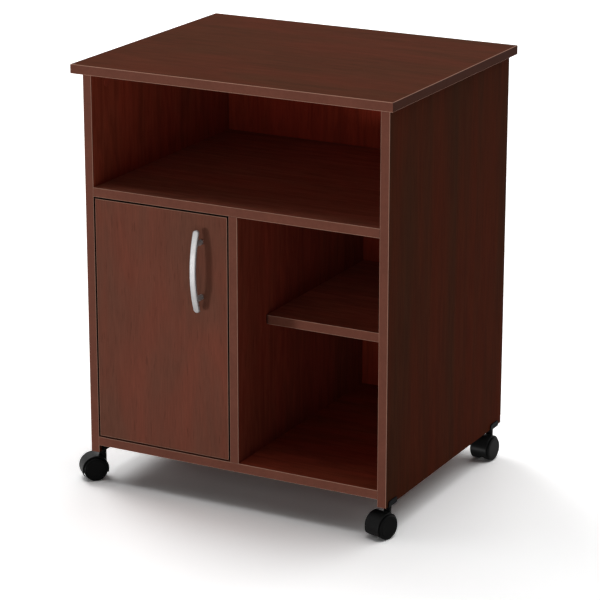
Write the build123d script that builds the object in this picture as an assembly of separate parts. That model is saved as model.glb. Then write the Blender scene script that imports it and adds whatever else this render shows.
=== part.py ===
from build123d import *
import math
import os

# A printer cart in cherry laminate: a cupboard with an inset door, an open bay with a
# half-depth shelf, a wide top bay, and four hooded twin-wheel casters under its sides.
# Millimetres. While it is built, X is across with 0 in the middle, Y runs back from the
# front edges of the side panels, and Z is up from the floor.

# Boards
board = 16.0
edge_band = 1.0
edge_round = 0.9
back_board = 3.0

# Carcass
top_width = 597.0
top_side_overhang = 13.0
top_front_overhang = 17.0
top_rear_overhang = 2.0
side_depth = 467.0
side_height = 674.0
bottom_rise = 13.0
lower_bay_height = 432.0
back_inset = 1.0

# Half-depth shelf and its pins
half_shelf_setback = 99.5
half_shelf_rise = 220.0
half_shelf_play = 0.5
pin_radius = 2.5
pin_depth = 9.0
pin_end_gap = 0.5
pin_seat_reach = 8.0
pin_seat_height = 8.0
pin_seat_width = 8.0
pin_from_end = 40.0

# Door
door_gap = 3.0

# Bow handle
handle_pitch = 96.0
handle_length = 143.0
handle_width = 11.0
handle_thickness = 6.0
handle_reach = 27.0
handle_bow_radius = 192.0
handle_edge_round = 2.2
handle_post_radius = 4.7
handle_from_edge = 50.0
handle_from_top = 96.0

# Hinges: one pin in a cup let into the door's back
hinge_from_end = 80.0
hinge_pin_inset = 22.0
hinge_pin_radius = 1.5
hinge_pin_length = 19.5
hinge_eye_radius = 3.2
hinge_eye_gap = 0.3
hinge_arm_thick = 3.4
hinge_arm_width = 13.0
hinge_arm_outreach = 12.6
hinge_arm_rise = 7.0
hinge_arm_back = 22.8
hinge_arm_bend = 4.5
hinge_arm_length = 42.7
cup_radius = 17.5
cup_wall = 1.0
cup_depth = 12.0
cup_offset = 3.0
cup_rim = 1.5
cup_flange = 1.2
cup_ear_width = 24.0
cup_ear_margin = 7.5
cup_ear_corner = 7.0
cup_screw_offset = 9.5
cup_screw_pitch = 45.0
lug_thick = 2.4
lug_gap = 0.5
plate_thick = 2.5
plate_width = 12.0
plate_corner = 2.0
plate_line = 21.7
plate_screw_pitch = 32.0
plate_wing = 44.0
arm_screw_radius = 2.0
arm_screw_head = 3.6
arm_screw_head_height = 2.0
arm_screw_from_end = 11.0

# Magnetic catch and its strike plate
catch_length = 44.0
catch_depth = 15.0
catch_height = 12.0
catch_corner = 2.0
catch_from_divider = 62.0
catch_screw_inset = 6.0
catch_screw_sink = 4.0
magnet_length = 20.0
magnet_depth = 10.0
magnet_floor = 2.0
magnet_roof = 3.0
strike_length = 34.0
strike_height = 10.0
strike_thick = 1.2
strike_corner = 2.0
strike_drop = 1.0
catch_air = 0.25

# Casters
wheel_radius = 21.0
wheel_width = 12.8
wheel_rim = 3.0
wheel_wall = 2.5
wheel_chamfer = 1.4
wheel_inner_chamfer = 0.6
wheel_groove_radius = 17.6
wheel_groove = 0.8
wheel_ribs = 6
rib_thick = 1.4
rib_setback = 1.2
hub_radius = 5.0
axle_radius = 2.5
axle_end_gap = 0.5
boss_radius = 6.0
boss_half = 5.8
wheel_side_gap = 0.4
caster_trail = 16.0
caster_headroom = 8.0
hood_clearance = 1.2
hood_wall = 1.8
hood_round = 1.1
hood_half_width = 15.5
hood_web = 5.8
hood_rear_drop = 28.0
hood_front_drop = 18.0
column_flat = 0.4
neck_radius = 6.5
neck_edge = 0.5
collar_height = 5.0
collar_gap = 0.5
stem_radius = 3.5
stem_drop = 3.5
stem_floor = 2.0
plug_radius = 4.0
plug_length = 31.0
plug_tip = 1.5
socket_radius = 5.5
socket_length = 34.0
saddle_sheet = 2.0
saddle_length = 31.0
saddle_lip = 9.0
saddle_leg = 12.5
saddle_corner = 4.0
front_caster_inset = 24.0
rear_caster_inset = 30.0
front_left_heading = 224.0
front_right_heading = 253.0
rear_left_heading = 250.0
rear_right_heading = 265.0

# Joining hardware
joint_from_front = 50.0
joint_from_back = 60.0
cam_radius = 7.5
cam_height = 12.5
cam_inset = 24.0
cam_slot_span = 9.0
cam_slot_width = 1.6
cam_slot_depth = 1.5
cam_cap = 0.6
cam_cap_radius = 8.5
cam_cap_round = 0.25
bolt_radius = 3.0
bolt_thread = 9.0
bolt_neck_radius = 2.0
bolt_neck_length = 6.0
bolt_head_length = 4.0
bolt_head_past = 1.5
bolt_passage_play = 0.6
bolt_passage_past = 3.0
dowel_radius = 4.0
dowel_length = 30.0
dowel_in_face = 10.0
dowel_tip = 0.8
hole_end_gap = 0.5
long_screw_radius = 2.5
long_screw_head = 4.75
long_screw_head_height = 3.0
long_screw_length = 50.0
long_screw_key = 2.2
long_screw_key_depth = 1.8
small_screw_radius = 1.6
small_screw_head = 3.4
small_screw_head_height = 1.6
small_screw_length = 12.0
catch_screw_length = 18.0
handle_screw_radius = 2.0
handle_screw_head = 4.0
handle_screw_head_height = 2.4
handle_screw_bite = 10.0
handle_screw_play = 0.3
cross_blade = 0.85
nail_radius = 0.8
nail_head_radius = 2.0
nail_head_height = 0.5
nail_length = 20.0
nail_pitch = 110.0
nail_edge = 16.0
divider_nails = 3

# Clearances
fit = 0.1
running = 0.05
leg_gap = 0.15

# Levels and faces worked out from the sizes above
caster_height = 2 * wheel_radius + hood_clearance + hood_wall + caster_headroom + saddle_sheet
side_bottom = caster_height
side_top = side_bottom + side_height
bottom_low = side_bottom + bottom_rise
bottom_high = bottom_low + board
shelf_low = bottom_high + lower_bay_height
shelf_high = shelf_low + board
half_low = bottom_high + half_shelf_rise
outer = top_width / 2 - top_side_overhang
inner = outer - board
divider_half = board / 2
side_middle = outer - board / 2
back_face = side_depth + back_board
top_back = back_face + top_rear_overhang
door_left = -inner + door_gap
door_right = -divider_half - door_gap
door_low = bottom_high + door_gap
door_high = shelf_low - door_gap
hinge_levels = (door_low + hinge_from_end, door_high - hinge_from_end)
joint_rows = (joint_from_front, side_depth - joint_from_back)
sides = ((-1, "left"), (1, "right"))

up = (0, 0, 1)
forward = (0, -1, 0)

nodes = {}


def keep(name, *solids):
    """File the solids of one sub-part under its name."""
    nodes[name] = list(solids)


def block(x, y, z):
    """A box from its limits along each axis."""
    size = [max(pair) - min(pair) for pair in (x, y, z)]
    middle = [sum(pair) / 2 for pair in (x, y, z)]
    return Pos(*middle) * Box(*size)


def rod(radius, foot, direction, length):
    """A round bar that starts at foot and runs along direction."""
    plane = Plane(origin=foot, z_dir=direction)
    return plane * Cylinder(radius, length, align=(Align.CENTER, Align.CENTER, Align.MIN))


def band(x, y, z, outward):
    """A strip of edging from its limits, with the long edges of its outward face eased."""
    strip = block(x, y, z)
    face = strip.faces().sort_by(Axis((0, 0, 0), outward))[-1]
    return fillet(face.edges().sort_by(SortBy.LENGTH)[-2:], min(edge_round, 0.9 * edge_band))


def cross_recess(centre, out, span, blade, depth):
    """The cross that a driver turns, cut into a head whose face is at centre."""
    return Plane(origin=centre, z_dir=out) * (Box(span, blade, 2 * depth) + Box(blade, span, 2 * depth))


def pan_screw(seat, out, radius, head_radius, head_height, length):
    """A screw with a rounded head that rests on seat and faces out."""
    seat = Vector(*seat)
    out = Vector(*out)
    dome = rod(head_radius, seat, out, head_height)
    dome = fillet(dome.edges().group_by(Axis(seat, out))[-1], 0.7 * head_height)
    recess = cross_recess(seat + out * head_height, out, 1.2 * head_radius, cross_blade, head_height / 2)
    return rod(radius, seat, -out, length) + dome - recess


def small_screw(seat, out, length=small_screw_length):
    """The short pan-head screw used for fittings."""
    return pan_screw(seat, out, small_screw_radius, small_screw_head, small_screw_head_height, length)


# Joining hardware: each fitting comes with the holes that it needs in its two boards
bores = {"left": [], "right": [], "top": [], "shelf": [], "bottom": [], "divider": [], "door": []}
cams = []
caps = []
bolts = []
dowels = []


def cam_joint(face_board, end_board, point, out, cam_side, capped=False):
    """A cam bolt in one board's face, held by a cam lock in the end of another.

    point is where the bolt crosses from board to board, out points from the bolted
    board along the other, and cam_side points to the face that the cam is let into.
    """
    foot = Vector(*point)
    out = Vector(*out)
    side = Vector(*cam_side)
    centre = foot + out * cam_inset
    mouth = centre + side * (board / 2)
    head_end = cam_inset + bolt_head_past
    head_start = head_end - bolt_head_length
    bolt = rod(bolt_radius, foot - out * bolt_thread, out, bolt_thread + head_start - bolt_neck_length)
    bolt += rod(bolt_neck_radius, foot, out, head_start)
    bolt += rod(bolt_radius, foot + out * head_start, out, bolt_head_length)
    bolts.append(bolt)
    lock = rod(cam_radius, mouth, -side, cam_height)
    passage = 2 * cam_radius + bolt_passage_past
    lock -= rod(bolt_radius + bolt_passage_play, centre - out * 2 * cam_radius, out, passage)
    lock -= cross_recess(mouth, side, cam_slot_span, cam_slot_width, cam_slot_depth)
    cams.append(lock)
    if capped:
        cap = rod(cam_cap_radius, mouth, side, cam_cap)
        caps.append(fillet(cap.edges().group_by(Axis(mouth, side))[-1], cam_cap_round))
    thread_hole = bolt_thread + hole_end_gap
    bores[face_board].append(rod(bolt_radius + fit, foot - out * thread_hole, out, thread_hole))
    bores[end_board].append(rod(bolt_radius + fit, foot, out, cam_inset))
    bores[end_board].append(rod(cam_radius + fit, mouth, -side, cam_height + fit))


def dowel_joint(face_board, end_board, point, out):
    """A wooden dowel, its short end in a face and its long end in an edge."""
    foot = Vector(*point)
    out = Vector(*out)
    peg = rod(dowel_radius, foot - out * (dowel_in_face - hole_end_gap), out, dowel_length)
    dowels.append(chamfer(peg.edges().filter_by(GeomType.CIRCLE), dowel_tip))
    edge_hole = dowel_length - dowel_in_face + 2 * hole_end_gap
    bores[face_board].append(rod(dowel_radius + fit, foot - out * dowel_in_face, out, dowel_in_face))
    bores[end_board].append(rod(dowel_radius + fit, foot, out, edge_hole))


def carcass_joints():
    """Cams and dowels at both ends of the shelf and bottom, under the top and on the divider."""
    for hand, name in sides:
        inward = (-hand, 0, 0)
        for end_board, level in (("shelf", shelf_low), ("bottom", bottom_low)):
            for y in joint_rows:
                cam_joint(name, end_board, (hand * inner, y, level + board / 2), inward, (0, 0, -1))
            dowel_joint(name, end_board, (hand * inner, side_depth / 2, level + board / 2), inward)
        for y in joint_rows:
            cam_joint("top", name, (hand * side_middle, y, side_top), (0, 0, -1), inward, capped=True)
        dowel_joint("top", name, (hand * side_middle, side_depth / 2, side_top), (0, 0, -1))
    for y in joint_rows:
        dowel_joint("shelf", "divider", (0, y, shelf_low), (0, 0, -1))


def divider_screw(y):
    """A long countersunk screw up through the bottom panel into the divider."""
    seat = (0, y, bottom_low)
    head_middle = Pos(0, y, bottom_low + long_screw_head_height / 2)
    screw = rod(long_screw_radius, seat, (0, 0, 1), long_screw_length)
    screw += head_middle * Cone(long_screw_head, long_screw_radius, long_screw_head_height)
    screw -= Pos(*seat) * extrude(RegularPolygon(long_screw_key, 6), long_screw_key_depth)
    hole = rod(long_screw_radius + fit, seat, (0, 0, 1), long_screw_length + hole_end_gap)
    hole += head_middle * Cone(long_screw_head + fit, long_screw_radius + fit, long_screw_head_height)
    bores["bottom"].append(hole)
    bores["divider"].append(hole)
    return screw


carcass_joints()
keep("cam_locks", *cams)
keep("cam_caps", *caps)
keep("cam_bolts", *bolts)
keep("wood_dowels", *dowels)
keep("divider_screws", *[divider_screw(y) for y in joint_rows])


# Half-depth shelf on four pins, two in the divider and two in the right side panel
half_back = side_depth - half_shelf_play
half_x = (divider_half + half_shelf_play, inner - half_shelf_play)
half_z = (half_low, half_low + board)


def shelf_pin(panel, wall_x, out, y):
    """A pin with a rounded seat that the shelf lies on."""
    level = half_low - pin_seat_height / 2
    pin_length = pin_depth - pin_end_gap
    across = (wall_x, wall_x + out * pin_seat_reach)
    along = (y - pin_seat_width / 2, y + pin_seat_width / 2)
    seat = block(across, along, (half_low - pin_seat_height, half_low))
    tip = seat.edges().filter_by(Axis.Y).group_by(Axis.Z)[0].sort_by(Axis((0, 0, 0), (out, 0, 0)))[-1]
    seat = fillet(tip, 0.6 * min(pin_seat_height, pin_seat_reach))
    bores[panel].append(rod(pin_radius + fit, (wall_x, y, level), (-out, 0, 0), pin_depth))
    return seat + rod(pin_radius, (wall_x, y, level), (-out, 0, 0), pin_length)


keep("half_shelf", block(half_x, (half_shelf_setback + edge_band, half_back), half_z))
keep("shelf_pins", *[
    shelf_pin(panel, wall_x, out, y)
    for panel, wall_x, out in (("divider", divider_half, 1), ("right", inner, -1))
    for y in (half_shelf_setback + pin_from_end, half_back - pin_from_end)
])

# Hinge pin line, and what stands behind it
pin_x = -inner + hinge_pin_inset
cup_floor = board - cup_depth
hinge_pin_depth = cup_floor + cup_wall + hinge_eye_radius + hinge_eye_gap
arm_back = hinge_pin_depth + hinge_arm_back
plate_y = arm_back + plate_line
arm_end = arm_back + hinge_arm_length
arm_foot = -inner + plate_thick
arm_screw_y = arm_end - arm_screw_from_end


def hinge_plate(level):
    """The plate on the side panel, wide where it is screwed down and long under the arm."""
    plane = Plane(origin=(-inner, plate_y, level), x_dir=(0, 1, 0), z_dir=(1, 0, 0))
    bed = RectangleRounded(hinge_arm_length, plate_width, plate_corner)
    bed_middle = (arm_back + arm_end) / 2 - plate_y
    outline = Rot(0, 0, 90) * SlotOverall(plate_wing, plate_width) + Pos(bed_middle, 0) * bed
    plate = plane * extrude(outline, plate_thick)
    plate -= rod(arm_screw_radius + fit, (-inner, arm_screw_y, level), (1, 0, 0), plate_thick)
    for step in (-1, 1):
        spot = (-inner, plate_y, level + step * plate_screw_pitch / 2)
        plate -= rod(small_screw_radius + fit, spot, (1, 0, 0), plate_thick)
        bores["left"].append(rod(small_screw_radius + fit, spot, (-1, 0, 0), small_screw_length))
    return plate


def hinge_arm(level):
    """The arm: an eye on the pin, out round the door's swinging edge, back along the plate."""
    low = level - hinge_arm_width / 2
    crest_x = pin_x + hinge_arm_outreach
    line_x = arm_foot + hinge_arm_thick / 2
    path = FilletPolyline(
        (pin_x, hinge_pin_depth),
        (crest_x, hinge_pin_depth + hinge_arm_rise),
        (crest_x, arm_back),
        (line_x, arm_back),
        (line_x, arm_end),
        radius=hinge_arm_bend,
    )
    strip = offset(path, hinge_arm_thick / 2, kind=Kind.ARC)
    arm = Pos(0, 0, low) * extrude(make_face(strip.edges()), hinge_arm_width)
    arm += rod(hinge_eye_radius, (pin_x, hinge_pin_depth, low), up, hinge_arm_width)
    arm -= rod(hinge_pin_radius + running, (pin_x, hinge_pin_depth, low), up, hinge_arm_width)
    return arm - rod(arm_screw_radius + fit, (arm_foot, arm_screw_y, level), (1, 0, 0), hinge_arm_thick)


def hinge_cup(level):
    """The cup: a pot let into the door, two lugs for the pin, and a flange with ears."""
    cup_x = pin_x + cup_offset
    cup = rod(cup_radius, (cup_x, cup_floor, level), (0, 1, 0), cup_depth)
    cup += rod(cup_radius + cup_rim, (cup_x, board, level), (0, 1, 0), cup_flange)
    ear_place = Plane(origin=(cup_x + cup_screw_offset / 2, board, level), x_dir=up, z_dir=(0, 1, 0))
    ears = RectangleRounded(cup_screw_pitch + 2 * cup_ear_margin, cup_ear_width, cup_ear_corner)
    cup += ear_place * extrude(ears, cup_flange)
    cup -= rod(cup_radius - cup_wall, (cup_x, cup_floor + cup_wall, level), (0, 1, 0), cup_depth + cup_flange)
    for step in (-1, 1):
        near = level + step * (hinge_arm_width / 2 + lug_gap)
        across = (pin_x - hinge_eye_radius, pin_x + hinge_eye_radius)
        along = (cup_floor + cup_wall / 2, hinge_pin_depth)
        cup += block(across, along, (near, near + step * lug_thick))
        cup += rod(hinge_eye_radius, (pin_x, hinge_pin_depth, near), (0, 0, step), lug_thick)
        spot = (cup_x + cup_screw_offset, board, level + step * cup_screw_pitch / 2)
        cup -= rod(small_screw_radius + fit, spot, (0, 1, 0), cup_flange)
        bores["door"].append(rod(small_screw_radius + fit, spot, (0, -1, 0), small_screw_length))
    bores["door"].append(rod(cup_radius + fit, (cup_x, cup_floor - fit, level), (0, 1, 0), cup_depth + fit))
    return cup - hinge_pin(level, running)


def hinge_pin(level, room=0.0):
    """The pin through the arm's eye and the cup's lugs, or with room, its hole."""
    foot = (pin_x, hinge_pin_depth, level - hinge_pin_length / 2)
    return rod(hinge_pin_radius + room, foot, up, hinge_pin_length)


def hinge_screws(level):
    """The screws of one hinge: two in its plate, one through its arm, two in its cup."""
    arm_seat = (arm_foot + hinge_arm_thick, arm_screw_y, level)
    arm_shank = hinge_arm_thick + plate_thick - fit
    cup_screw_x = pin_x + cup_offset + cup_screw_offset
    in_plate = []
    in_cup = []
    for step in (-1, 1):
        plate_seat = (arm_foot, plate_y, level + step * plate_screw_pitch / 2)
        in_plate.append(small_screw(plate_seat, (1, 0, 0)))
        cup_seat = (cup_screw_x, board + cup_flange, level + step * cup_screw_pitch / 2)
        in_cup.append(small_screw(cup_seat, (0, 1, 0)))
    in_arm = pan_screw(
        arm_seat, (1, 0, 0), arm_screw_radius, arm_screw_head, arm_screw_head_height, arm_shank
    )
    return in_plate, in_arm, in_cup


plate_screws = []
arm_screws = []
cup_screws = []
hinge_pins = []
for name, level in zip(("lower", "upper"), hinge_levels):
    keep(name + "_hinge_plate", hinge_plate(level))
    keep(name + "_hinge_arm", hinge_arm(level))
    keep(name + "_hinge_cup", hinge_cup(level))
    hinge_pins.append(hinge_pin(level))
    in_plate, in_arm, in_cup = hinge_screws(level)
    plate_screws += in_plate
    arm_screws.append(in_arm)
    cup_screws += in_cup
keep("hinge_plate_screws", *plate_screws)
keep("hinge_arm_screws", *arm_screws)
keep("hinge_cup_screws", *cup_screws)
keep("hinge_pins", *hinge_pins)

# Bow handle and its screws
handle_x = door_right - handle_from_edge
handle_z = door_high - handle_from_top


def bow_handle():
    """A bent flat bar with round ends on two posts, tapped from behind for its screws."""
    bow_centre = handle_bow_radius - handle_reach
    ring = Circle(handle_bow_radius + handle_thickness / 2) - Circle(handle_bow_radius - handle_thickness / 2)
    side_on = Plane(origin=(handle_x - handle_width, bow_centre, handle_z), x_dir=(0, 1, 0), z_dir=(1, 0, 0))
    face_on = Plane(origin=(handle_x, 0, handle_z), x_dir=up, z_dir=forward)
    bent = side_on * extrude(ring, 2 * handle_width)
    outline = face_on * extrude(SlotOverall(handle_length, handle_width), 2 * handle_reach)
    bar = (bent & outline).solids()[0]
    handle = fillet(bar.edges(), min(handle_edge_round, 0.4 * handle_thickness))
    post = math.sqrt(handle_bow_radius ** 2 - (handle_pitch / 2) ** 2) - bow_centre
    for step in (-1, 1):
        handle += rod(handle_post_radius, (handle_x, 0, handle_z + step * handle_pitch / 2), forward, post)
    for step in (-1, 1):
        spot = (handle_x, 0, handle_z + step * handle_pitch / 2)
        handle -= rod(handle_screw_radius + running, spot, forward, handle_screw_bite + hole_end_gap)
    return handle


def handle_screw(step):
    """A screw through the door from behind, with the hole that it passes."""
    level = handle_z + step * handle_pitch / 2
    bores["door"].append(rod(handle_screw_radius + handle_screw_play, (handle_x, 0, level), (0, 1, 0), board))
    return pan_screw(
        (handle_x, board, level),
        (0, 1, 0),
        handle_screw_radius,
        handle_screw_head,
        handle_screw_head_height,
        board + handle_screw_bite,
    )


keep("door_handle", bow_handle())
keep("handle_screws", handle_screw(-1), handle_screw(1))

# Magnetic catch under the shelf, and its strike plate on the door
catch_x = -divider_half - catch_from_divider
catch_front = board + strike_thick + catch_air
catch_low = shelf_low - catch_height
strike_z = (shelf_low + catch_low) / 2 - strike_drop
magnet_z = (catch_low + magnet_floor, shelf_low - magnet_roof)
catch_screw_spots = [
    (catch_x + step * (catch_length / 2 - catch_screw_inset), catch_front + catch_depth / 2)
    for step in (-1, 1)
]


def catch_case():
    """The moulded case, with a pocket for the magnet and two sunk screw holes."""
    across = (catch_x - catch_length / 2, catch_x + catch_length / 2)
    case = block(across, (catch_front, catch_front + catch_depth), (catch_low, shelf_low))
    case = fillet(case.edges().filter_by(Axis.Z), catch_corner)
    across = (catch_x - magnet_length / 2 - fit, catch_x + magnet_length / 2 + fit)
    case -= block(across, (catch_front, catch_front + magnet_depth), magnet_z)
    for x, y in catch_screw_spots:
        case -= rod(small_screw_radius + fit, (x, y, catch_low), up, catch_height)
        case -= rod(small_screw_head + fit, (x, y, catch_low), up, catch_screw_sink)
        bite = catch_screw_length - catch_height + catch_screw_sink + hole_end_gap
        bores["shelf"].append(rod(small_screw_radius + fit, (x, y, shelf_low), up, bite))
    return case


def strike():
    """The steel plate on the door's back, and the countersunk screw that holds it."""
    place = Plane(origin=(catch_x, board, strike_z), x_dir=(1, 0, 0), z_dir=(0, 1, 0))
    sink = Pos(catch_x, board + strike_thick / 2, strike_z) * Rot(-90, 0, 0)
    plate = place * extrude(RectangleRounded(strike_length, strike_height, strike_corner), strike_thick)
    plate -= sink * Cone(small_screw_radius + fit, small_screw_head, strike_thick)
    screw = rod(small_screw_radius, (catch_x, board, strike_z), forward, small_screw_length)
    screw += sink * Cone(small_screw_radius - fit, small_screw_head - 2 * fit, strike_thick)
    hole_length = small_screw_length + hole_end_gap
    bores["door"].append(rod(small_screw_radius + fit, (catch_x, board, strike_z), forward, hole_length))
    return plate, screw


magnet_x = (catch_x - magnet_length / 2, catch_x + magnet_length / 2)
strike_plate, strike_screw = strike()
keep("magnetic_catch", catch_case())
keep("catch_magnet", block(magnet_x, (catch_front, catch_front + magnet_depth), magnet_z))
keep("catch_screws", *[
    small_screw((x, y, catch_low + catch_screw_sink), (0, 0, -1), catch_screw_length)
    for x, y in catch_screw_spots
])
keep("strike_plate", strike_plate)
keep("strike_screw", strike_screw)

# Door panel and its four edge bands
core_x = (door_left + edge_band, door_right - edge_band)
core_z = (door_low + edge_band, door_high - edge_band)
thickness = (0, board)
keep("door_panel", block(core_x, thickness, core_z) - bores["door"])
keep(
    "door_edge_bands",
    band((door_left, door_right), thickness, (door_low, core_z[0]), (0, 0, -1)),
    band((door_left, door_right), thickness, (core_z[1], door_high), (0, 0, 1)),
    band((door_left, core_x[0]), thickness, core_z, (-1, 0, 0)),
    band((core_x[1], door_right), thickness, core_z, (1, 0, 0)),
)

# Casters, each built round its swivel axis with its wheels trailing along +X
hood_inner = wheel_radius + hood_clearance
hood_outer = hood_inner + hood_wall
saddle_low = side_bottom - saddle_sheet
collar_low = saddle_low - collar_height
neck_top = collar_low - collar_gap
stem_foot = wheel_radius - stem_drop
wheel_inner = boss_half + wheel_side_gap
wheel_face = wheel_inner + wheel_width
axle_half = wheel_face - wheel_wall - axle_end_gap
axle_seat = (caster_trail, 0, wheel_radius)
caster_spots = {
    "front_left": (-1, front_caster_inset, front_left_heading),
    "front_right": (1, front_caster_inset, front_right_heading),
    "rear_left": (-1, side_depth - rear_caster_inset, rear_left_heading),
    "rear_right": (1, side_depth - rear_caster_inset, rear_right_heading),
}


def hood_slice():
    """The hood seen from the side: a pie slice over the wheels, low at the back."""
    angles = (-hood_rear_drop, 90, 180 + hood_front_drop)
    reach = [(hood_outer * math.cos(math.radians(a)), hood_outer * math.sin(math.radians(a))) for a in angles]
    return make_face(Line((0, 0), reach[0]) + ThreePointArc(*reach) + Line(reach[2], (0, 0)))


def hood():
    """The moulded hood: a fender over both wheels, a web between them, axle and stem bosses."""
    side_on = Plane(origin=axle_seat, x_dir=(1, 0, 0), z_dir=forward)
    body = side_on * extrude(hood_slice() - Circle(hood_inner), hood_half_width, both=True)
    rims = body.edges().filter_by(GeomType.CIRCLE).group_by(SortBy.RADIUS)[-1]
    body = fillet(rims, min(hood_round, 0.6 * hood_wall))
    body += side_on * extrude(hood_slice() + Circle(boss_radius), hood_web / 2, both=True)
    body += rod(boss_radius, (caster_trail, -boss_half, wheel_radius), (0, 1, 0), 2 * boss_half)
    column_low = stem_foot - stem_floor
    column = rod(neck_radius, (0, 0, column_low), up, neck_top - column_low)
    flat = boss_half - column_flat
    body += column & block((-neck_radius, neck_radius), (-flat, flat), (0, neck_top))
    neck_foot = wheel_radius + math.sqrt(hood_inner ** 2 - caster_trail ** 2) + hood_wall / 3
    neck = rod(neck_radius, (0, 0, neck_foot), up, neck_top - neck_foot)
    body += chamfer(neck.edges().group_by(Axis.Z)[-1], neck_edge)
    body -= rod(stem_radius + running, (0, 0, stem_foot - running), up, neck_top)
    return body - axle(running)


def axle(room=0.0):
    """The axle of both wheels, or with room, its hole in the hood."""
    return rod(axle_radius + room, (caster_trail, -axle_half, wheel_radius), (0, 1, 0), 2 * axle_half)


def stem():
    """The turned stem: a pin that the hood turns on, a collar, and a plug for the socket."""
    pin = rod(stem_radius, (0, 0, stem_foot), up, collar_low - stem_foot)
    collar = rod(neck_radius, (0, 0, collar_low), up, collar_height)
    plug = rod(plug_radius, (0, 0, saddle_low), up, saddle_sheet + plug_length)
    plug = chamfer(plug.edges().group_by(Axis.Z)[-1], plug_tip)
    return pin + chamfer(collar.edges(), neck_edge) + plug


def wheel(hand):
    """One wheel of the pair: a ribbed cup on a hub, closed on its outer face."""
    wall = wheel_face - wheel_wall
    tread = wheel_radius
    rim = tread - wheel_rim
    bore = axle_radius + running
    profile = Polyline(
        (bore, wheel_inner),
        (hub_radius, wheel_inner),
        (hub_radius, wall),
        (rim, wall),
        (rim, wheel_inner),
        (tread - wheel_inner_chamfer, wheel_inner),
        (tread, wheel_inner + wheel_inner_chamfer),
        (tread, wheel_face - wheel_chamfer),
        (tread - wheel_chamfer, wheel_face),
        (wheel_groove_radius + wheel_groove, wheel_face),
        (wheel_groove_radius + wheel_groove, wheel_face - wheel_groove),
        (wheel_groove_radius, wheel_face - wheel_groove),
        (wheel_groove_radius - wheel_groove, wheel_face),
        (0, wheel_face),
        (0, wall),
        (bore, wall),
        close=True,
    )
    turned = revolve(make_face(profile), Axis.Y)
    sunk = rib_thick / 4
    spoke = block(
        (hub_radius - sunk, rim + sunk),
        (wheel_inner + rib_setback, wall + sunk),
        (-rib_thick / 2, rib_thick / 2),
    )
    for index in range(wheel_ribs):
        turned += Rot(0, 360 / wheel_ribs * index, 0) * spoke
    turned = Pos(*axle_seat) * turned
    return turned if hand > 0 else mirror(turned, Plane.XZ)


def saddle(hand):
    """The folded clip round the side panel's lower edge, with its shorter lip outside."""
    reach = board / 2 + leg_gap
    far = reach + saddle_sheet
    half = (-saddle_length / 2, saddle_length / 2)
    leg_top = side_bottom + saddle_leg
    lip_top = side_bottom + saddle_lip
    channel = block((-far, far), half, (saddle_low, leg_top))
    channel = fillet(channel.edges().filter_by(Axis.Y).group_by(Axis.Z)[0], saddle_sheet)
    channel -= block((-reach, reach), half, (side_bottom, leg_top))
    channel -= block((hand * reach, hand * far), half, (lip_top, leg_top))
    ends = channel.edges().filter_by(Axis.X)
    upper = [edge for edge in ends if edge.center().Z > (side_bottom + lip_top) / 2]
    channel = fillet(upper, min(saddle_corner, saddle_lip / 2))
    channel -= rod(plug_radius + fit, (0, 0, saddle_low), up, saddle_sheet)
    for seat in saddle_screw_seats(hand):
        channel -= rod(small_screw_radius + fit, seat, (hand, 0, 0), saddle_sheet)
    return channel


def saddle_screw_seats(hand):
    """Where the two screws rest on the saddle's inner leg."""
    face = -hand * (board / 2 + leg_gap + saddle_sheet)
    level = side_bottom + saddle_leg / 2
    return [(face, step * saddle_length / 3, level) for step in (-1, 1)]


sockets = []
stems = []
saddle_screws = []
for name, (hand, y, heading) in caster_spots.items():
    panel = "right" if hand > 0 else "left"
    spot = Pos(hand * side_middle, y, 0)
    turned = spot * Rot(0, 0, heading)
    keep(name + "_saddle", spot * saddle(hand))
    keep(name + "_hood", turned * hood())
    keep(name + "_axle", turned * axle())
    keep(name + "_wheel_a", turned * wheel(-1))
    keep(name + "_wheel_b", turned * wheel(1))
    stems.append(turned * stem())
    sleeve = rod(socket_radius, (0, 0, side_bottom), up, socket_length)
    sleeve -= rod(plug_radius + fit, (0, 0, side_bottom), up, plug_length + hole_end_gap)
    sockets.append(spot * sleeve)
    bores[panel].append(spot * rod(socket_radius + fit, (0, 0, side_bottom), up, socket_length + fit))
    for seat in saddle_screw_seats(hand):
        saddle_screws.append(spot * small_screw(seat, (-hand, 0, 0)))
        hole = rod(small_screw_radius + fit, seat, (hand, 0, 0), small_screw_length + fit)
        bores[panel].append(spot * hole)
keep("caster_stems", *stems)
keep("caster_sockets", *sockets)
keep("saddle_screws", *saddle_screws)

# Back panel and its nails, up both sides and the divider and along the bottom and shelf
back_low = bottom_low
back_high = side_top - back_inset
nail_rows = int((back_high - back_low - 2 * nail_edge) // nail_pitch)
nail_columns = int(2 * inner // nail_pitch)
nail_spots = []
for index in range(nail_rows + 1):
    level = back_low + nail_edge + (back_high - back_low - 2 * nail_edge) * index / nail_rows
    nail_spots += [(-side_middle, level), (side_middle, level)]
for level in (bottom_low + board / 2, shelf_low + board / 2):
    for index in range(1, nail_columns):
        nail_spots.append((-inner + 2 * inner * index / nail_columns, level))
for index in range(1, divider_nails + 1):
    nail_spots.append((0, bottom_high + lower_bay_height * index / (divider_nails + 1)))


def nail(x, level):
    """A flat-headed nail driven in from behind."""
    shank = rod(nail_radius, (x, back_face, level), forward, nail_length)
    return shank + rod(nail_head_radius, (x, back_face, level), (0, 1, 0), nail_head_height)


def nail_hole(x, level):
    """The hole that a nail makes in the back panel and the board before it."""
    return rod(nail_radius + fit, (x, back_face, level), forward, nail_length + fit)


def nailed(x, z):
    """The nail holes within a board's limits."""
    return [nail_hole(a, b) for a, b in nail_spots if x[0] < a < x[1] and z[0] < b < z[1]]


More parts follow.
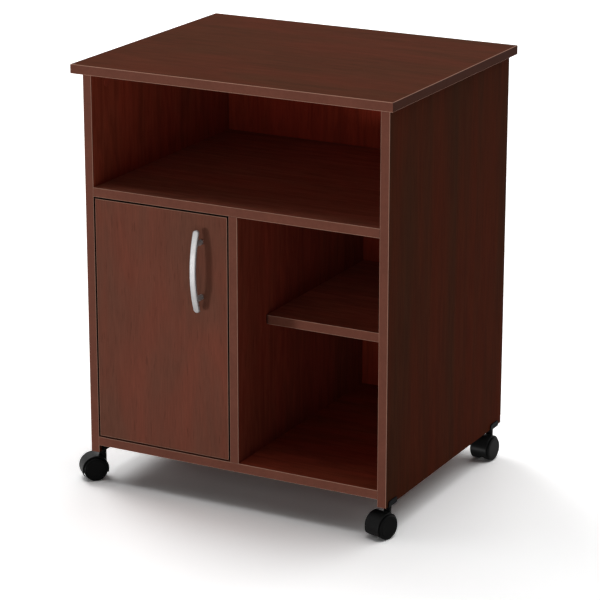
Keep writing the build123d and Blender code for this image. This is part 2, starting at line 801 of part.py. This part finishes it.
back_x = (-outer + back_inset, outer - back_inset)
back = block(back_x, (side_depth, back_face), (back_low, back_high))
keep("back_panel", back - [nail_hole(x, level) for x, level in nail_spots])
keep("back_nails", *[nail(x, level) for x, level in nail_spots])

# The boards of the carcass, less their holes, with a band along each front edge
board_limits = {
    "left_side_panel": ("left", (-outer, -inner), (side_bottom, side_top)),
    "right_side_panel": ("right", (inner, outer), (side_bottom, side_top)),
    "fixed_shelf": ("shelf", (-inner, inner), (shelf_low, shelf_high)),
    "bottom_panel": ("bottom", (-inner, inner), (bottom_low, bottom_high)),
    "divider_panel": ("divider", (-divider_half, divider_half), (bottom_high, shelf_low)),
}
front_bands = [band(half_x, (half_shelf_setback, half_shelf_setback + edge_band), half_z, forward)]
for name, (short, x, z) in board_limits.items():
    keep(name, block(x, (edge_band, side_depth), z) - bores[short] - nailed(x, z))
    front_bands.append(band(x, (0, edge_band), z, forward))
keep("carcass_edge_bands", *front_bands)

# Top board and the four bands round it
top_x = (-top_width / 2, top_width / 2)
top_y = (-top_front_overhang, top_back)
top_z = (side_top, side_top + board)
core_x = (top_x[0] + edge_band, top_x[1] - edge_band)
core_y = (top_y[0] + edge_band, top_y[1] - edge_band)
keep("top_panel", block(core_x, core_y, top_z) - bores["top"])
keep(
    "top_edge_bands",
    band(top_x, (top_y[0], core_y[0]), top_z, forward),
    band(top_x, (core_y[1], top_y[1]), top_z, (0, 1, 0)),
    band((top_x[0], core_x[0]), core_y, top_z, (-1, 0, 0)),
    band((core_x[1], top_x[1]), core_y, top_z, (1, 0, 0)),
)

# The origin is the middle of the whole cart's footprint, on the floor
limits = [solid.bounding_box() for solids in nodes.values() for solid in solids]
low_x = min(limit.min.X for limit in limits)
high_x = max(limit.max.X for limit in limits)
low_y = min(limit.min.Y for limit in limits)
high_y = max(limit.max.Y for limit in limits)
origin = Vector((low_x + high_x) / 2, (low_y + high_y) / 2, 0)
print("origin in the building frame", tuple(round(value, 4) for value in origin))

os.makedirs("parts", exist_ok=True)
for name, solids in nodes.items():
    placed = [Pos(*(-origin)) * solid for solid in solids]
    export_step(placed[0] if len(placed) == 1 else Compound(children=placed), f"parts/{name}.step")
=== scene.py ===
import math

import bpy
from mathutils import Matrix, Vector


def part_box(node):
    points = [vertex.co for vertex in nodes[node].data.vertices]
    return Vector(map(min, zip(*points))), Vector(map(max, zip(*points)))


# The finishes, floor, light and camera for the printer cart. Metres, in the frame's own
# axes: X across, Y towards the back, Z up from the floor. Colours are linear RGB.
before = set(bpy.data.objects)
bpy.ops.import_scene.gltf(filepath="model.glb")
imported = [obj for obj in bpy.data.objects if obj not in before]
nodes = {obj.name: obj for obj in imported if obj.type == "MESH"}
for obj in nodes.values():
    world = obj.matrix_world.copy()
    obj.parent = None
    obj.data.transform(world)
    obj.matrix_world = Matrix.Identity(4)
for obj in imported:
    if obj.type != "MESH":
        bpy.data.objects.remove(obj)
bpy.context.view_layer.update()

# Camera, fitted to the photograph. Angles are in degrees, lens and sensor in millimetres,
# and the shift in widths of the frame.
camera_place = (2.0495, -3.8346, 1.6838)
camera_turn = 27.92
camera_dip = 17.05
camera_roll = 0.04
camera_lens = 157.31
camera_shift = -0.037
camera_reach = 100.0
sensor_width = 36.0

# Lamps: where each is seen from the cart, as degrees round from its front and degrees up,
# then its strength in the units of pi watts per square metre, and its width in degrees.
# The two that lie below the floor light the cart only because the floor casts no shadow.
lamps = {
    "key": (-30, -8, 0.40, 9),
    "front": (0, 10, 0.12, 60),
    "front_right": (22, -5, 0.10, 25),
    "left": (-90, 45, 0.13, 60),
    "left_rear": (-120, 45, 0.25, 30),
    "rear": (180, 25, 0.20, 60),
    "right_rear": (130, 40, 0.11, 60),
    "top_rear": (150, 70, 0.25, 70),
    "overhead": (0, 89, 0.13, 30),
}

# World: its light on matt surfaces, then what the camera and reflections see
ambient = 0.0
white = 1.0

# Floor: half its width, then how much light it returns to the cart and to the camera
floor_half = 12.0
floor_bounce = 0.8
floor_seen = 1.68

# Laminate: the reddest and the brownest tone of its print. The boards carry lit and shaded
# copies of one laminate: the door's tones are lighter and greyer, a painted sheen from the lamps
# in front, and the top's and the sides' are darker, painted shade. The faces inside the bays
# have lighter, redder tones, painted light which stands in for light that the lamps don't bring
# there.
shaded_top_tones = ((0.097, 0.026, 0.0136), (0.078, 0.026, 0.0131))
shaded_side_tones = ((0.072, 0.0142, 0.0060), (0.046, 0.0158, 0.0072))
sheen_door_tones = ((0.146, 0.0434, 0.0270), (0.117, 0.0448, 0.0288))
lit_inner_tones = ((0.280, 0.045, 0.023), (0.235, 0.046, 0.023))
lit_shelf_tones = ((0.330, 0.100, 0.060), (0.280, 0.098, 0.058))
lit_bay_floor_tones = ((0.255, 0.042, 0.022), (0.215, 0.044, 0.021))
lit_divider_tones = ((0.185, 0.032, 0.018), (0.155, 0.034, 0.018))
lit_back_tones = ((0.265, 0.0290, 0.0138), (0.222, 0.030, 0.0130))

# Its grain: how often each figure repeats per metre, along and across the board
patch_repeats = (4, 15)
side_patch_repeats = (1.1, 13)
streak_repeats = (8, 80)
fibre_repeats = (26, 700)
tick_repeats = (34, 420)

# Its grain: the contrast of the streaks inside the bays and of the fibres, the values of
# the noise at which a dark tick sets in and is full, and the tone of a tick
inner_contrast = 0.19
fibre_contrast = 0.07
tick_range = (0.64, 0.74)
tick_tone = 0.80

# Edging: its tone, lighter and greyer with a painted sheen from the lamps in front; the darker
# tone of painted shade on its faces that look left and right; and the painted highlight on its
# eased edges. The first range is the size of the normal's X part at which a face turns from one
# tone to the other, and the second the size of its largest part, from an eased edge to a flat.
sheen_edging_colour = (0.140, 0.0490, 0.0325)
edging_aside_shade = (0.046, 0.0110, 0.0040)
painted_edge_highlight = (0.45, 0.255, 0.185)
aside_range = (0.5, 0.9)
flat_range = (0.93, 0.99)

# Gaps between boards: painted shade darkens a surface where another stands within the depth.
# Its tone goes from gap_dark to full as the open share of its surroundings goes through the
# range.
gap_depth = 0.008
gap_range = (0.55, 0.95)
gap_dark = 0.02
gap_samples = 8

# Most values of the noise texture lie in this range
noise_range = (0.3, 0.7)

# How many times as long as wide the lines of brushed metal are
brushed_length = 30

# Heights of the fine relief
laminate_relief = 0.00004
edging_relief = 0.00003
metal_relief = 0.00002
plastic_relief = 0.00003
wood_relief = 0.00005

# How far a test for a board's face reaches past that face
margin = 0.001


class Finish:
    """The node tree of one material, with short calls for the nodes that finishes share."""

    def __init__(self, name):
        self.material = bpy.data.materials.new(name)
        self.material.use_nodes = True
        self.tree = self.material.node_tree
        self.tree.nodes.clear()
        self.shader = self.tree.nodes.new("ShaderNodeBsdfPrincipled")
        output = self.tree.nodes.new("ShaderNodeOutputMaterial")
        self.tree.links.new(self.shader.outputs["BSDF"], output.inputs["Surface"])
        coordinates = self.tree.nodes.new("ShaderNodeTexCoord")
        self.place = coordinates.outputs["Object"]
        self.normal = coordinates.outputs["Normal"]

    def node(self, kind, *inputs, **settings):
        """A new node, its settings and its first inputs, each a link or a constant."""
        made = self.tree.nodes.new(kind)
        for name, value in settings.items():
            setattr(made, name, value)
        for socket, value in zip(made.inputs, inputs):
            self.feed(socket, value)
        return made

    def feed(self, socket, value):
        """Link a socket to another node, or set its constant."""
        if isinstance(value, bpy.types.NodeSocket):
            self.tree.links.new(value, socket)
        else:
            socket.default_value = value

    def maths(self, operation, *values):
        return self.node("ShaderNodeMath", *values, operation=operation).outputs[0]

    def split(self, vector):
        """The three parts of a vector."""
        return self.node("ShaderNodeSeparateXYZ", vector).outputs

    def along(self, axis):
        """One coordinate of the object's own space."""
        return self.split(self.place)["XYZ".index(axis)]

    def noise(self, scale, detail, roughness, distortion=0.0, shift=(0, 0, 0)):
        """Noise that repeats per metre as scale says, along each of the object's own axes."""
        mapping = self.node("ShaderNodeMapping", self.place)
        mapping.inputs["Location"].default_value = shift
        mapping.inputs["Scale"].default_value = scale
        made = self.node("ShaderNodeTexNoise", mapping.outputs[0])
        made.inputs["Scale"].default_value = 1.0
        made.inputs["Detail"].default_value = detail
        made.inputs["Roughness"].default_value = roughness
        made.inputs["Distortion"].default_value = distortion
        return made.outputs["Fac"]

    def even_noise(self, repeats, detail, roughness):
        """Noise that repeats alike in all directions."""
        return self.noise((repeats, repeats, repeats), detail, roughness)

    def span(self, value, low, high, to_low=0.0, to_high=1.0):
        """value mapped smoothly from low..high, clamped, to to_low..to_high."""
        made = self.node("ShaderNodeMapRange", value, low, high, to_low, to_high)
        made.interpolation_type = "SMOOTHSTEP"
        return made.outputs[0]

    def spread(self, noise, to_low=0.0, to_high=1.0):
        """Noise mapped to to_low..to_high."""
        return self.span(noise, *noise_range, to_low, to_high)

    def blend(self, share, first, second):
        """first turned into second by share, as colours."""
        made = self.node("ShaderNodeMix", data_type="RGBA")
        self.feed(made.inputs[0], share)
        for socket, value in ((made.inputs[6], first), (made.inputs[7], second)):
            self.feed(socket, (*value, 1.0) if isinstance(value, tuple) else value)
        return made.outputs[2]

    def shade(self, colour, factor):
        """colour made lighter or darker by a factor that varies over the surface."""
        made = self.node("ShaderNodeVectorMath", colour, operation="SCALE")
        self.feed(made.inputs["Scale"], factor)
        return made.outputs[0]

    def crevice_shade(self):
        """Painted shade: 1 on open surfaces, down to gap_dark where another surface stands
        close.
        """
        made = self.node("ShaderNodeAmbientOcclusion", samples=gap_samples)
        made.inputs["Distance"].default_value = gap_depth
        return self.span(made.outputs["AO"], *gap_range, gap_dark, 1.0)

    def bump(self, height, distance, strength):
        made = self.node("ShaderNodeBump", strength, distance)
        self.feed(made.inputs["Height"], height)
        self.feed(self.shader.inputs["Normal"], made.outputs[0])

    def set(self, **values):
        """Sockets of the shader by name, with underscores for spaces."""
        for name, value in values.items():
            self.feed(self.shader.inputs[name.replace("_", " ")], value)


def stretched(axis, along, across):
    """A scale for a pattern that runs along one axis: repeats per metre along and across."""
    scale = [across, across, across]
    scale["XYZ".index(axis)] = along
    return tuple(scale)


def grain_colour(finish, axis, tones, shift, contrast, patch=patch_repeats):
    """The printed grain: soft patches of two hues, streaks, fibres and dark ticks."""
    figure = finish.noise(stretched(axis, *patch), 3, 0.55, 0.5, shift)
    streak = finish.noise(stretched(axis, *streak_repeats), 4, 0.65, 0.8, shift)
    fibre = finish.noise(stretched(axis, *fibre_repeats), 2, 0.6, 0.0, shift)
    tick = finish.noise(stretched(axis, *tick_repeats), 1, 0.5, 0.0, shift)
    colour = finish.blend(finish.spread(figure), *tones)
    shade = finish.spread(streak, 1.0 + contrast, 1.0 - contrast)
    lines = finish.spread(fibre, 1.0 + fibre_contrast, 1.0 - fibre_contrast)
    shade = finish.maths("MULTIPLY", shade, lines)
    shade = finish.maths("MULTIPLY", shade, finish.span(tick, *tick_range, 1.0, tick_tone))
    return finish.shade(colour, shade), fibre


def laminate(
    name, axis, shift, tones, gloss, contrast,
    inside=None, lit_inside_tones=lit_inner_tones, patch=patch_repeats, spared=None,
):
    """Cherry laminate with its grain along an axis.

    inside says which faces look into the bays and have the lighter tones of painted light.
    Where spared is given, those faces get painted shade in gaps, apart from the parts that it
    spares.
    """
    finish = Finish(name)
    colour, fibre = grain_colour(finish, axis, tones, shift, contrast, patch)
    if inside is not None:
        # Faces inside the bays: lighter, redder tones of painted light
        within, _ = grain_colour(finish, axis, lit_inside_tones, shift, inner_contrast)
        if spared is not None:
            # Painted shade in gaps, except where spared says
            share = finish.maths("MAXIMUM", spared(finish), finish.crevice_shade())
            within = finish.shade(within, share)
        colour = finish.blend(inside(finish), colour, within)
    finish.set(Base_Color=colour, Roughness=0.6, Specular_IOR_Level=gloss)
    finish.bump(fibre, laminate_relief, 0.5)
    return finish.material


def eased(finish):
    """1 on the rounded edges, where the surface faces along no axis, and 0 on the flats."""
    size = [finish.maths("ABSOLUTE", part) for part in finish.split(finish.normal)]
    largest = finish.maths("MAXIMUM", finish.maths("MAXIMUM", size[0], size[1]), size[2])
    return finish.span(largest, *flat_range, 1.0, 0.0)


def edging(name):
    """Edging with faint fibres: painted highlight on eased edges, painted shade on side faces
    and in gaps.
    """
    finish = Finish(name)
    mottle = finish.even_noise(18, 3, 0.55)
    fleck = finish.even_noise(160, 2, 0.6)
    shade = finish.spread(mottle, 0.95, 1.05)
    shade = finish.maths("MULTIPLY", shade, finish.spread(fleck, 0.96, 1.04))
    aside = finish.maths("ABSOLUTE", finish.split(finish.normal)[0])
    # Painted shade: a darker tone on the faces that look left and right
    colour = finish.blend(finish.span(aside, *aside_range), sheen_edging_colour, edging_aside_shade)
    colour = finish.shade(colour, shade)
    # Painted highlight on the eased edges
    colour = finish.blend(eased(finish), colour, painted_edge_highlight)
    # Painted shade where another surface stands close
    colour = finish.shade(colour, finish.crevice_shade())
    finish.set(Base_Color=colour, Roughness=0.55, Specular_IOR_Level=0.02)
    finish.bump(fleck, edging_relief, 0.4)
    return finish.material


def metal(name, colour, roughness, scale, brushed=None):
    """Bare or plated metal, with its roughness uneven over a fine grain."""
    finish = Finish(name)
    if brushed is None:
        grain = finish.even_noise(scale, 3, 0.6)
    else:
        grain = finish.noise(stretched(brushed, scale / brushed_length, scale), 3, 0.6)
    cloud = finish.even_noise(60, 2, 0.5)
    finish.set(
        Base_Color=finish.shade(colour, finish.spread(cloud, 0.95, 1.04)),
        Metallic=1.0,
        Roughness=finish.spread(grain, roughness - 0.06, roughness + 0.08),
    )
    finish.bump(grain, metal_relief, 0.4)
    return finish.material


def plastic(name, colour, roughness, specular, grain_scale=2200):
    """Moulded plastic with a fine spark-eroded texture. It serves for paint and ferrite too."""
    finish = Finish(name)
    grain = finish.even_noise(grain_scale, 2, 0.6)
    cloud = finish.even_noise(45, 3, 0.55)
    finish.set(
        Base_Color=finish.shade(colour, finish.spread(cloud, 0.9, 1.1)),
        Roughness=finish.spread(cloud, roughness - 0.03, roughness + 0.05),
        Specular_IOR_Level=specular,
    )
    finish.bump(grain, plastic_relief, 0.5)
    return finish.material


def beech(name):
    """Turned beech for the dowels."""
    finish = Finish(name)
    fibre = finish.even_noise(300, 3, 0.6)
    tone = finish.blend(finish.spread(fibre), (0.60, 0.45, 0.28), (0.48, 0.33, 0.19))
    finish.set(Base_Color=tone, Roughness=0.6)
    finish.bump(fibre, wood_relief, 0.5)
    return finish.material


def back_board(name, middle):
    """The back panel: grain that runs up its printed face, and brown hardboard behind."""
    finish = Finish(name)
    printed, _ = grain_colour(finish, "Z", lit_back_tones, (3.1, 0, 0.7), inner_contrast)
    felt = finish.even_noise(900, 4, 0.65)
    blotch = finish.even_noise(12, 3, 0.5)
    mixed = finish.span(felt, 0.35, 0.65)
    raw = finish.blend(mixed, (0.16, 0.085, 0.045), (0.105, 0.052, 0.028))
    raw = finish.shade(raw, finish.spread(blotch, 0.92, 1.07))
    behind = finish.maths("GREATER_THAN", finish.along("Y"), middle)
    colour = finish.blend(behind, printed, raw)
    finish.set(Base_Color=colour, Roughness=0.6, Specular_IOR_Level=0.02)
    finish.bump(felt, wood_relief, 0.4)
    return finish.material


def middle_of(node):
    low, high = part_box(node)
    return (low + high) / 2


def dress(material, *names):
    """Give CAD nodes a finish."""
    for name in names:
        mesh = nodes[name].data
        mesh.materials.clear()
        mesh.materials.append(material)


# Boards
centre = middle_of("top_panel")
side_x = abs(middle_of("right_side_panel").x - centre.x)
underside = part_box("top_panel")[0].z + margin
bay_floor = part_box("bottom_panel")[1].z - margin
shelf_level = middle_of("fixed_shelf").z


def below_top(finish):
    """1 on the underside of the top board."""
    return finish.maths("LESS_THAN", finish.along("Z"), underside)


def on_bay_floor(finish):
    """1 from the upper face of the bottom panel upwards, and 0 below it."""
    return finish.maths("GREATER_THAN", finish.along("Z"), bay_floor)


def above_shelf(finish):
    """1 above the fixed shelf, where no door stands close to the side panels, and 0 below it."""
    return finish.maths("GREATER_THAN", finish.along("Z"), shelf_level)


def between_sides(finish):
    """1 on the faces of the side panels that look into the bays, and 0 elsewhere."""
    offset = finish.maths("ABSOLUTE", finish.maths("SUBTRACT", finish.along("X"), centre.x))
    inner = finish.maths("LESS_THAN", offset, side_x)
    return finish.maths("MULTIPLY", inner, on_bay_floor(finish))


dress(
    laminate("laminate_top", "X", (0.3, 1.7, 0.2), shaded_top_tones, 0.002, 0.11, below_top),
    "top_panel",
)
dress(
    laminate(
        "laminate_sides", "Z", (1.3, 0.2, 0.5), shaded_side_tones, 0.004, 0.12, between_sides,
        patch=side_patch_repeats, spared=above_shelf,
    ),
    "left_side_panel", "right_side_panel",
)
dress(
    laminate("laminate_divider", "Z", (2.3, 0.9, 0.1), lit_divider_tones, 0.01, inner_contrast),
    "divider_panel",
)
dress(
    laminate("laminate_shelves", "X", (0.7, 2.2, 0.3), lit_shelf_tones, 0.01, inner_contrast),
    "fixed_shelf", "half_shelf",
)
dress(
    laminate(
        "laminate_bottom", "X", (1.9, 0.4, 0.8), shaded_side_tones, 0.01, 0.1, on_bay_floor,
        lit_bay_floor_tones,
    ),
    "bottom_panel",
)
# The door's lighter, greyer tones carry a painted sheen from the lamps in front
dress(laminate("laminate_door", "Z", (4.1, 0.6, 0.4), sheen_door_tones, 0.02, 0.06), "door_panel")
dress(back_board("back_board", middle_of("back_panel").y), "back_panel")
dress(edging("edging"), "carcass_edge_bands", "top_edge_bands", "door_edge_bands")

# Fittings
dress(metal("satin_nickel", (0.325, 0.317, 0.316), 0.57, 2400, "Z"), "door_handle")
dress(
    metal("zinc_plated", (0.62, 0.62, 0.61), 0.36, 1500),
    "back_nails", "cam_bolts", "cam_locks", "caster_sockets", "catch_screws", "divider_screws",
    "handle_screws", "hinge_arm_screws", "hinge_cup_screws", "hinge_pins", "hinge_plate_screws",
    "lower_hinge_arm", "lower_hinge_cup", "lower_hinge_plate", "strike_plate", "strike_screw",
    "upper_hinge_arm", "upper_hinge_cup", "upper_hinge_plate",
)
dress(beech("beech"), "wood_dowels")
dress(plastic("magnet_ferrite", (0.05, 0.05, 0.052), 0.6, 0.4, 1500), "catch_magnet")
dress(plastic("brown_plastic", (0.06, 0.025, 0.018), 0.45, 0.4), "magnetic_catch", "shelf_pins")
# The cam caps sit in the bays and take the same lighter, redder tone of painted light
dress(plastic("cherry_plastic", (0.26, 0.046, 0.025), 0.6, 0.02), "cam_caps")

# Casters
casters = ("front_left", "front_right", "rear_left", "rear_right")
hood_black = plastic("caster_hood_black", (0.006, 0.006, 0.006), 0.38, 0.05)
wheel_black = plastic("caster_wheel_black", (0.005, 0.005, 0.005), 0.40, 0.03)
steel_black = plastic("black_painted_steel", (0.003, 0.003, 0.003), 0.45, 0.02, 1200)
for caster in casters:
    dress(hood_black, caster + "_hood")
    dress(wheel_black, caster + "_wheel_a", caster + "_wheel_b")
    dress(steel_black, caster + "_saddle", caster + "_axle")
dress(steel_black, "caster_stems", "saddle_screws")


# Floor and light
def seen_share(tree):
    """1 for the rays that should see a white studio: camera, glossy and transmission rays."""
    path = tree.nodes.new("ShaderNodeLightPath")
    share = path.outputs["Is Camera Ray"]
    for name in ("Is Glossy Ray", "Is Transmission Ray"):
        highest = tree.nodes.new("ShaderNodeMath")
        highest.operation = "MAXIMUM"
        tree.links.new(share, highest.inputs[0])
        tree.links.new(path.outputs[name], highest.inputs[1])
        share = highest.outputs[0]
    return share


def grey_by_ray(tree, output_kind, shader_kind, unseen, seen):
    """Fill a node tree with one grey for the rays that see the studio and one for the rest."""
    tree.nodes.clear()
    output = tree.nodes.new(output_kind)
    mixed = tree.nodes.new("ShaderNodeMixShader")
    tree.links.new(seen_share(tree), mixed.inputs[0])
    for index, level in ((1, unseen), (2, seen)):
        shader = tree.nodes.new(shader_kind)
        shader.inputs["Color"].default_value = (level, level, level, 1.0)
        tree.links.new(shader.outputs[0], mixed.inputs[index])
    tree.links.new(mixed.outputs[0], output.inputs["Surface"])


def floor():
    """A plain pale floor that keeps the cart's shadow. It lets in the lamps from below it."""
    mesh = bpy.data.meshes.new("floor")
    reach = floor_half
    corners = [(-reach, -reach, 0), (reach, -reach, 0), (reach, reach, 0), (-reach, reach, 0)]
    mesh.from_pydata(corners, [], [(0, 1, 2, 3)])
    made = bpy.data.objects.new("floor", mesh)
    bpy.context.scene.collection.objects.link(made)
    made.visible_shadow = False
    material = bpy.data.materials.new("floor")
    material.use_nodes = True
    grey_by_ray(
        material.node_tree, "ShaderNodeOutputMaterial", "ShaderNodeBsdfDiffuse",
        floor_bounce, floor_seen,
    )
    mesh.materials.append(material)


def studio():
    """The world. Matt surfaces get no light from it, so it takes no light samples."""
    world = bpy.data.worlds.new("studio")
    bpy.context.scene.world = world
    world.use_nodes = True
    world.cycles.sampling_method = "NONE"
    grey_by_ray(
        world.node_tree, "ShaderNodeOutputWorld", "ShaderNodeBackground", ambient, white
    )


def sun(name, turn, rise, strength, width):
    """A far lamp. At strength 1 a white matt face that looks at it comes out white."""
    data = bpy.data.lights.new(name, "SUN")
    data.energy = math.pi * strength
    data.angle = math.radians(width)
    lamp = bpy.data.objects.new(name, data)
    bpy.context.scene.collection.objects.link(lamp)
    turn = math.radians(turn)
    rise = math.radians(rise)
    level = math.cos(rise)
    towards = Vector((math.sin(turn) * level, -math.cos(turn) * level, math.sin(rise)))
    lamp.rotation_euler = towards.to_track_quat("Z", "Y").to_euler()


def camera():
    """The photograph's view."""
    data = bpy.data.cameras.new("camera")
    data.sensor_width = sensor_width
    data.lens = camera_lens
    data.shift_y = camera_shift
    data.clip_end = camera_reach
    made = bpy.data.objects.new("camera", data)
    bpy.context.scene.collection.objects.link(made)
    turn = Matrix.Rotation(math.radians(camera_turn), 4, "Z")
    dip = Matrix.Rotation(math.radians(90 - camera_dip), 4, "X")
    roll = Matrix.Rotation(math.radians(camera_roll), 4, "Z")
    made.matrix_world = Matrix.Translation(camera_place) @ turn @ dip @ roll
    bpy.context.scene.camera = made


floor()
studio()
for name, lamp in lamps.items():
    sun(name, *lamp)
camera()
bpy.context.scene.view_settings.view_transform = "Standard"
